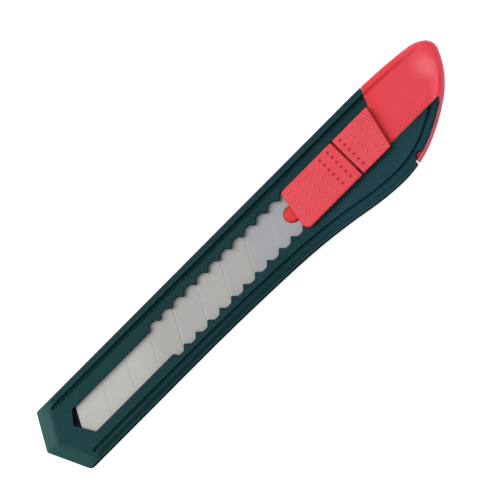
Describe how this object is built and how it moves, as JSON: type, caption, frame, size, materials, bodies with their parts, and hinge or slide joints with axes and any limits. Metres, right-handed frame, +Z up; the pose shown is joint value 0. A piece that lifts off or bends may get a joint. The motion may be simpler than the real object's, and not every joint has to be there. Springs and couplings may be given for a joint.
{
  "type": "snap-off knife",
  "caption": "Snap-off utility knife: moulded handle with notched slot, two-part thumb slider, scored blade and pull-off end cap.",
  "frame": {"origin": "on the flat back face, under the centreline of the slider's slot, half way along the knife", "axes": "+X along the knife from the nose towards the end cap, +Y from the cutting edge towards the blade's spine, +Z up out of the face that carries the slider"},
  "size_m": [0.1673, 0.0287, 0.0133],
  "materials": {
    "body_plastic": "fine satin texture, dark blue green",
    "slider_plastic": "satin moulded plastic, warm red",
    "cap_plastic": "satin moulded plastic, warm red",
    "blade_steel": "ground and brushed carbon steel",
    "spring_steel": "stamped spring steel"
  },
  "bodies": {
    "body": {"body_top_shell": "body_plastic", "body_back_shell": "body_plastic"},
    "slider": {"slider_carrier": "slider_plastic", "blade": "blade_steel", "lock_spring": "spring_steel"},
    "release_button": {"lock_button": "slider_plastic"},
    "cap": {"end_cap": "cap_plastic"}
  },
  "joints": [
    {"name": "slider_slide", "type": "slide", "parent": "body", "child": "slider", "axis": [-1, 0, 0], "range_m": [0, 0.08], "deforming": ["lock_spring"]},
    {"name": "lock_press", "type": "slide", "parent": "slider", "child": "release_button", "axis": [0, 0, -1], "range_m": [0, 0.001], "stiffness_N_per_m": 2000, "springref_m": -0.0005, "deforming": ["lock_spring"]},
    {"name": "cap_pull", "type": "slide", "parent": "body", "child": "cap", "axis": [1, 0, 0], "range_m": [0, 0.03]}
  ]
}
